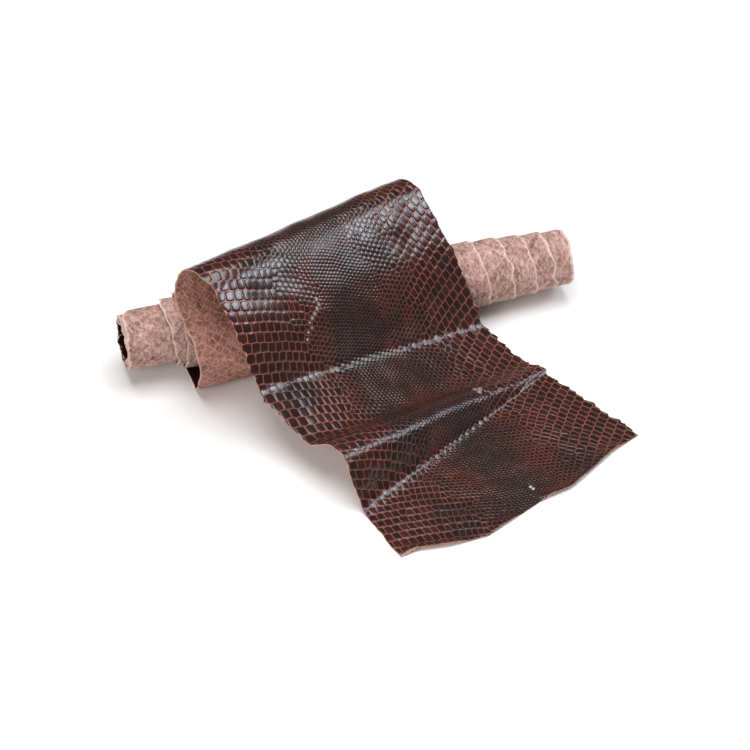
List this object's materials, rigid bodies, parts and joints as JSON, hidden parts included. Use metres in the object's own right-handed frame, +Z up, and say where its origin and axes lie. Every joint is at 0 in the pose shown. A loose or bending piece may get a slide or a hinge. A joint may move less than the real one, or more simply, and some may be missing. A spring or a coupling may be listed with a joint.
{
  "type": "tanned python skin",
  "caption": "Tanned snake hide rolled flesh side out, its free end folded back over the roll and laid out in waves, scale side up; leather stock for bags, boots and belts.",
  "frame": {"origin": "middle of the part's bounding box, on the floor", "axes": "X along the roll, with its wider reach towards +X; the free end points towards -Y; +Z up"},
  "size_m": [0.3132, 0.2644, 0.0994],
  "materials": {
    "leather": "glazed dark brown scales with copper red grooves; pink suede on the flesh side"
  },
  "bodies": {
    "root": {"python_skin": "leather"}
  },
  "joints": []
}
